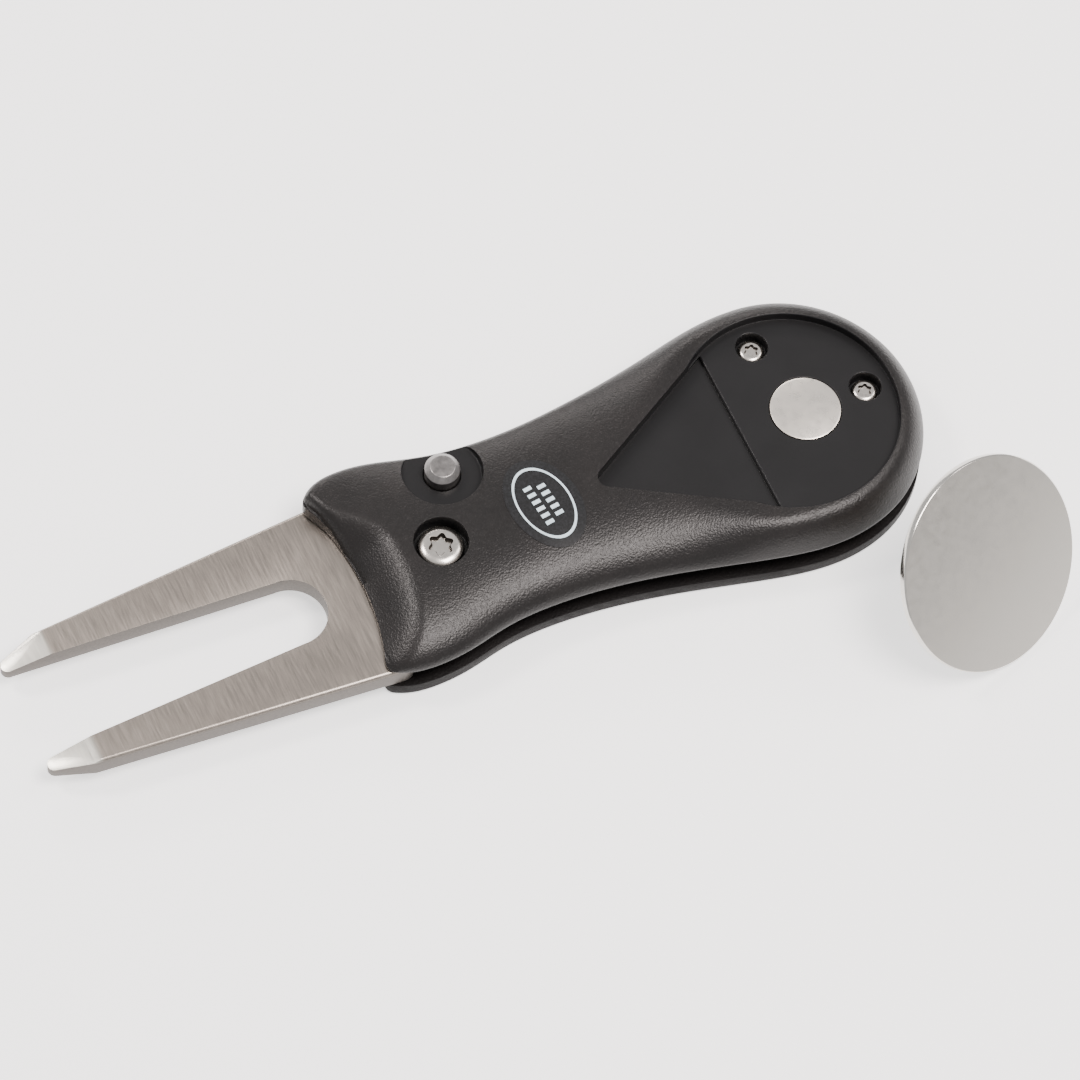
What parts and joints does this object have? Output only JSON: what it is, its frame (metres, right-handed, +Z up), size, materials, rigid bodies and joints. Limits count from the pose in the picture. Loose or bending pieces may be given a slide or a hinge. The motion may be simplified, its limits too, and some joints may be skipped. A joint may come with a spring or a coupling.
{
  "type": "divot repair tool",
  "caption": "Folding golf divot repair tool: two-prong steel fork on a pivot in a black plastic handle, release button, magnet pocket and loose steel ball marker.",
  "frame": {"origin": "on the table plane, under the fork's pivot, at the middle of the pivot sleeve's flat flange", "axes": "+X from the pivot to the round head, +Y to the closed back of the handle, +Z up out of the marker pocket"},
  "size_m": [0.1145, 0.0509, 0.0194],
  "materials": {
    "handle_plastic": "fine grained moulded",
    "fork_steel": "satin brushed",
    "button_steel": "turned and brushed",
    "screw_steel": "bright",
    "spring_steel": "drawn wire",
    "washer_nylon": "plain",
    "magnet_nickel": "nickel plated, satin",
    "marker_steel": "polished",
    "label_film": "clear film with a pale oval line"
  },
  "bodies": {
    "handle": {"top_shell": "handle_plastic", "bottom_shell": "handle_plastic", "pivot_sleeve": "screw_steel", "pivot_screw": "screw_steel", "lower_washer": "washer_nylon", "upper_washer": "washer_nylon", "opening_spring": "spring_steel", "rear_screws": "screw_steel", "magnet": "magnet_nickel", "label": "label_film", "button_spring": "spring_steel"},
    "fork": {"fork": "fork_steel"},
    "button": {"release_button": "button_steel"},
    "marker": {"ball_marker": "marker_steel"}
  },
  "joints": [
    {"name": "fork_fold", "type": "hinge", "parent": "handle", "child": "fork", "pos_m": [0, 0, 0.0034], "axis": [0, 0, 1], "range_deg": [0, 175]},
    {"name": "button_press", "type": "slide", "parent": "handle", "child": "button", "axis": [0, 0, -1], "range_m": [0, 0.0017], "deforming": ["button_spring"]},
    {"name": "marker_place", "type": "hinge", "parent": "handle", "child": "marker", "pos_m": [0.01128, -0.02725, -0.01925], "axis": [-0.9211, -0.3891, 0.011], "range_deg": [0, 51.2]}
  ]
}
